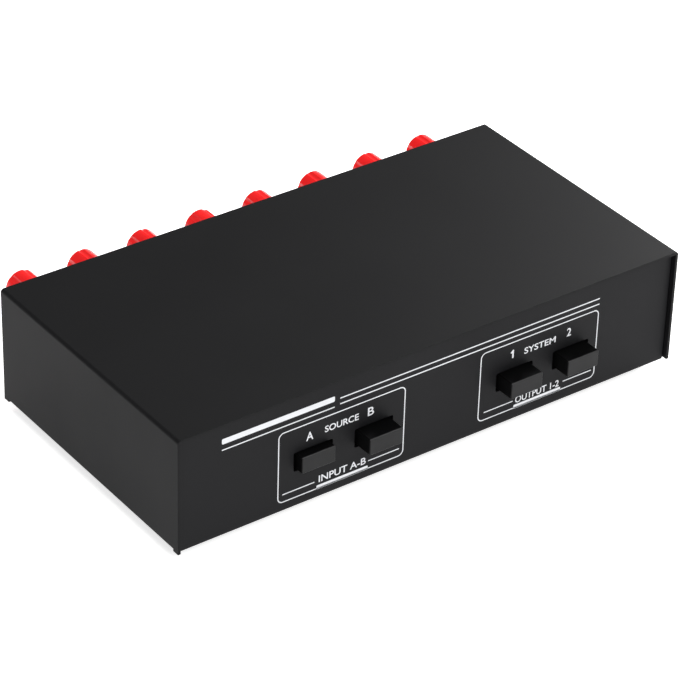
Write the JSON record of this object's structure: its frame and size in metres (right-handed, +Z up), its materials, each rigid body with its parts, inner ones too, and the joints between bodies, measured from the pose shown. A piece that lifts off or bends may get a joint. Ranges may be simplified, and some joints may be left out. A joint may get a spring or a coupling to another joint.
{
  "type": "speaker selector switch",
  "caption": "Flat black steel case with latching push buttons on its front panel and rows of red and black binding posts on its rear panel, for switching amplifiers and speakers.",
  "frame": {"origin": "under the middle of the whole object, on the surface that its feet stand on", "axes": "+X along the front panel to the right of someone facing it, +Y from the front panel to the rear panel, +Z up"},
  "size_m": [0.19, 0.12, 0.0445],
  "materials": {
    "cover_paint": "fine-textured satin black powder coat",
    "chassis_paint": "fine-textured satin black powder coat with white screen print",
    "white_ink": "matt white screen-printing ink",
    "cap_plastic": "fine-grained black moulded plastic",
    "switch_plastic": "natural moulded plastic",
    "spring_steel": "plain spring steel",
    "screw_steel": "black zinc plate",
    "foot_rubber": "black rubber",
    "red_plastic": "bright red moulded plastic",
    "black_plastic": "black moulded plastic",
    "nickel_plate": "nickel plate over brass",
    "fibre_washer": "vulcanised fibre",
    "board_laminate": "phenolic laminate",
    "wire_sleeve": "soft insulated hook-up wire"
  },
  "bodies": {
    "case": {"top_cover": "cover_paint", "chassis": "chassis_paint", "cover_screws": "screw_steel", "rubber_feet": "foot_rubber", "red_terminal_bases": "red_plastic", "black_terminal_bases": "black_plastic", "terminal_posts": "nickel_plate", "terminal_insulators": "fibre_washer", "solder_lugs": "nickel_plate", "terminal_hex_nuts": "nickel_plate", "switch_housings": "switch_plastic", "switch_board": "board_laminate", "board_standoffs": "nickel_plate", "board_screws": "screw_steel", "return_spring_a": "spring_steel", "return_spring_b": "spring_steel", "return_spring_1": "spring_steel", "return_spring_2": "spring_steel", "hook_up_wires": "wire_sleeve"},
    "button_a": {"button_cap_a": "cap_plastic", "plunger_a": "switch_plastic"},
    "button_b": {"button_cap_b": "cap_plastic", "plunger_b": "switch_plastic"},
    "button_1": {"button_cap_1": "cap_plastic", "plunger_1": "switch_plastic"},
    "button_2": {"button_cap_2": "cap_plastic", "plunger_2": "switch_plastic"},
    "latch_slider": {"latch_slider": "spring_steel"},
    "red_ring_1": {"red_clamp_ring_1": "nickel_plate"},
    "red_nut_1": {"red_nut_1": "red_plastic"},
    "red_ring_2": {"red_clamp_ring_2": "nickel_plate"},
    "red_nut_2": {"red_nut_2": "red_plastic"},
    "red_ring_3": {"red_clamp_ring_3": "nickel_plate"},
    "red_nut_3": {"red_nut_3": "red_plastic"},
    "red_ring_4": {"red_clamp_ring_4": "nickel_plate"},
    "red_nut_4": {"red_nut_4": "red_plastic"},
    "red_ring_5": {"red_clamp_ring_5": "nickel_plate"},
    "red_nut_5": {"red_nut_5": "red_plastic"},
    "red_ring_6": {"red_clamp_ring_6": "nickel_plate"},
    "red_nut_6": {"red_nut_6": "red_plastic"},
    "red_ring_7": {"red_clamp_ring_7": "nickel_plate"},
    "red_nut_7": {"red_nut_7": "red_plastic"},
    "red_ring_8": {"red_clamp_ring_8": "nickel_plate"},
    "red_nut_8": {"red_nut_8": "red_plastic"},
    "black_ring_1": {"black_clamp_ring_1": "nickel_plate"},
    "black_nut_1": {"black_nut_1": "black_plastic"},
    "black_ring_2": {"black_clamp_ring_2": "nickel_plate"},
    "black_nut_2": {"black_nut_2": "black_plastic"},
    "black_ring_3": {"black_clamp_ring_3": "nickel_plate"},
    "black_nut_3": {"black_nut_3": "black_plastic"},
    "black_ring_4": {"black_clamp_ring_4": "nickel_plate"},
    "black_nut_4": {"black_nut_4": "black_plastic"},
    "black_ring_5": {"black_clamp_ring_5": "nickel_plate"},
    "black_nut_5": {"black_nut_5": "black_plastic"},
    "black_ring_6": {"black_clamp_ring_6": "nickel_plate"},
    "black_nut_6": {"black_nut_6": "black_plastic"},
    "black_ring_7": {"black_clamp_ring_7": "nickel_plate"},
    "black_nut_7": {"black_nut_7": "black_plastic"},
    "black_ring_8": {"black_clamp_ring_8": "nickel_plate"},
    "black_nut_8": {"black_nut_8": "black_plastic"}
  },
  "joints": [
    {"name": "button_b_press", "type": "slide", "parent": "case", "child": "button_b", "axis": [0, 1, 0], "range_m": [0, 0.0035], "deforming": ["return_spring_b"]},
    {"name": "button_a_press", "type": "slide", "parent": "case", "child": "button_a", "axis": [0, 1, 0], "range_m": [-0.0035, 0], "deforming": ["return_spring_a"]},
    {"name": "button_1_press", "type": "slide", "parent": "case", "child": "button_1", "axis": [0, 1, 0], "range_m": [0, 0.0043], "stiffness_N_per_m": 150, "springref_m": -0.004, "deforming": ["return_spring_1"]},
    {"name": "button_2_press", "type": "slide", "parent": "case", "child": "button_2", "axis": [0, 1, 0], "range_m": [0, 0.0043], "stiffness_N_per_m": 150, "springref_m": -0.004, "deforming": ["return_spring_2"]},
    {"name": "latch_slide", "type": "slide", "parent": "case", "child": "latch_slider", "axis": [1, 0, 0], "range_m": [0, 0.001]},
    {"name": "red_ring_1_travel", "type": "slide", "parent": "case", "child": "red_ring_1", "axis": [0, 1, 0], "range_m": [0, 0.003]},
    {"name": "red_nut_1_turn", "type": "hinge", "parent": "red_ring_1", "child": "red_nut_1", "pos_m": [-0.07875, 0.05345, 0.03225], "axis": [0, 1, 0], "range_deg": [0, 1440]},
    {"name": "red_ring_2_travel", "type": "slide", "parent": "case", "child": "red_ring_2", "axis": [0, 1, 0], "range_m": [0, 0.003]},
    {"name": "red_nut_2_turn", "type": "hinge", "parent": "red_ring_2", "child": "red_nut_2", "pos_m": [-0.05625, 0.05345, 0.03225], "axis": [0, 1, 0], "range_deg": [0, 1440]},
    {"name": "red_ring_3_travel", "type": "slide", "parent": "case", "child": "red_ring_3", "axis": [0, 1, 0], "range_m": [0, 0.003]},
    {"name": "red_nut_3_turn", "type": "hinge", "parent": "red_ring_3", "child": "red_nut_3", "pos_m": [-0.03375, 0.05345, 0.03225], "axis": [0, 1, 0], "range_deg": [0, 1440]},
    {"name": "red_ring_4_travel", "type": "slide", "parent": "case", "child": "red_ring_4", "axis": [0, 1, 0], "range_m": [0, 0.003]},
    {"name": "red_nut_4_turn", "type": "hinge", "parent": "red_ring_4", "child": "red_nut_4", "pos_m": [-0.01125, 0.05345, 0.03225], "axis": [0, 1, 0], "range_deg": [0, 1440]},
    {"name": "red_ring_5_travel", "type": "slide", "parent": "case", "child": "red_ring_5", "axis": [0, 1, 0], "range_m": [0, 0.003]},
    {"name": "red_nut_5_turn", "type": "hinge", "parent": "red_ring_5", "child": "red_nut_5", "pos_m": [0.01125, 0.05345, 0.03225], "axis": [0, 1, 0], "range_deg": [0, 1440]},
    {"name": "red_ring_6_travel", "type": "slide", "parent": "case", "child": "red_ring_6", "axis": [0, 1, 0], "range_m": [0, 0.003]},
    {"name": "red_nut_6_turn", "type": "hinge", "parent": "red_ring_6", "child": "red_nut_6", "pos_m": [0.03375, 0.05345, 0.03225], "axis": [0, 1, 0], "range_deg": [0, 1440]},
    {"name": "red_ring_7_travel", "type": "slide", "parent": "case", "child": "red_ring_7", "axis": [0, 1, 0], "range_m": [0, 0.003]},
    {"name": "red_nut_7_turn", "type": "hinge", "parent": "red_ring_7", "child": "red_nut_7", "pos_m": [0.05625, 0.05345, 0.03225], "axis": [0, 1, 0], "range_deg": [0, 1440]},
    {"name": "red_ring_8_travel", "type": "slide", "parent": "case", "child": "red_ring_8", "axis": [0, 1, 0], "range_m": [0, 0.003]},
    {"name": "red_nut_8_turn", "type": "hinge", "parent": "red_ring_8", "child": "red_nut_8", "pos_m": [0.07875, 0.05345, 0.03225], "axis": [0, 1, 0], "range_deg": [0, 1440]},
    {"name": "black_ring_1_travel", "type": "slide", "parent": "case", "child": "black_ring_1", "axis": [0, 1, 0], "range_m": [0, 0.003]},
    {"name": "black_nut_1_turn", "type": "hinge", "parent": "black_ring_1", "child": "black_nut_1", "pos_m": [-0.07875, 0.05345, 0.01325], "axis": [0, 1, 0], "range_deg": [0, 1440]},
    {"name": "black_ring_2_travel", "type": "slide", "parent": "case", "child": "black_ring_2", "axis": [0, 1, 0], "range_m": [0, 0.003]},
    {"name": "black_nut_2_turn", "type": "hinge", "parent": "black_ring_2", "child": "black_nut_2", "pos_m": [-0.05625, 0.05345, 0.01325], "axis": [0, 1, 0], "range_deg": [0, 1440]},
    {"name": "black_ring_3_travel", "type": "slide", "parent": "case", "child": "black_ring_3", "axis": [0, 1, 0], "range_m": [0, 0.003]},
    {"name": "black_nut_3_turn", "type": "hinge", "parent": "black_ring_3", "child": "black_nut_3", "pos_m": [-0.03375, 0.05345, 0.01325], "axis": [0, 1, 0], "range_deg": [0, 1440]},
    {"name": "black_ring_4_travel", "type": "slide", "parent": "case", "child": "black_ring_4", "axis": [0, 1, 0], "range_m": [0, 0.003]},
    {"name": "black_nut_4_turn", "type": "hinge", "parent": "black_ring_4", "child": "black_nut_4", "pos_m": [-0.01125, 0.05345, 0.01325], "axis": [0, 1, 0], "range_deg": [0, 1440]},
    {"name": "black_ring_5_travel", "type": "slide", "parent": "case", "child": "black_ring_5", "axis": [0, 1, 0], "range_m": [0, 0.003]},
    {"name": "black_nut_5_turn", "type": "hinge", "parent": "black_ring_5", "child": "black_nut_5", "pos_m": [0.01125, 0.05345, 0.01325], "axis": [0, 1, 0], "range_deg": [0, 1440]},
    {"name": "black_ring_6_travel", "type": "slide", "parent": "case", "child": "black_ring_6", "axis": [0, 1, 0], "range_m": [0, 0.003]},
    {"name": "black_nut_6_turn", "type": "hinge", "parent": "black_ring_6", "child": "black_nut_6", "pos_m": [0.03375, 0.05345, 0.01325], "axis": [0, 1, 0], "range_deg": [0, 1440]},
    {"name": "black_ring_7_travel", "type": "slide", "parent": "case", "child": "black_ring_7", "axis": [0, 1, 0], "range_m": [0, 0.003]},
    {"name": "black_nut_7_turn", "type": "hinge", "parent": "black_ring_7", "child": "black_nut_7", "pos_m": [0.05625, 0.05345, 0.01325], "axis": [0, 1, 0], "range_deg": [0, 1440]},
    {"name": "black_ring_8_travel", "type": "slide", "parent": "case", "child": "black_ring_8", "axis": [0, 1, 0], "range_m": [0, 0.003]},
    {"name": "black_nut_8_turn", "type": "hinge", "parent": "black_ring_8", "child": "black_nut_8", "pos_m": [0.07875, 0.05345, 0.01325], "axis": [0, 1, 0], "range_deg": [0, 1440]}
  ],
  "couplings": [
    {"joint": "button_a_press", "follows": "button_b_press", "ratio": -1},
    {"joint": "latch_slide", "follows": "button_b_press", "ratio": 0.28571},
    {"joint": "red_nut_1_turn", "follows": "red_ring_1_travel", "rad_per_m": 8377.6},
    {"joint": "red_nut_2_turn", "follows": "red_ring_2_travel", "rad_per_m": 8377.6},
    {"joint": "red_nut_3_turn", "follows": "red_ring_3_travel", "rad_per_m": 8377.6},
    {"joint": "red_nut_4_turn", "follows": "red_ring_4_travel", "rad_per_m": 8377.6},
    {"joint": "red_nut_5_turn", "follows": "red_ring_5_travel", "rad_per_m": 8377.6},
    {"joint": "red_nut_6_turn", "follows": "red_ring_6_travel", "rad_per_m": 8377.6},
    {"joint": "red_nut_7_turn", "follows": "red_ring_7_travel", "rad_per_m": 8377.6},
    {"joint": "red_nut_8_turn", "follows": "red_ring_8_travel", "rad_per_m": 8377.6},
    {"joint": "black_nut_1_turn", "follows": "black_ring_1_travel", "rad_per_m": 8377.6},
    {"joint": "black_nut_2_turn", "follows": "black_ring_2_travel", "rad_per_m": 8377.6},
    {"joint": "black_nut_3_turn", "follows": "black_ring_3_travel", "rad_per_m": 8377.6},
    {"joint": "black_nut_4_turn", "follows": "black_ring_4_travel", "rad_per_m": 8377.6},
    {"joint": "black_nut_5_turn", "follows": "black_ring_5_travel", "rad_per_m": 8377.6},
    {"joint": "black_nut_6_turn", "follows": "black_ring_6_travel", "rad_per_m": 8377.6},
    {"joint": "black_nut_7_turn", "follows": "black_ring_7_travel", "rad_per_m": 8377.6},
    {"joint": "black_nut_8_turn", "follows": "black_ring_8_travel", "rad_per_m": 8377.6}
  ]
}
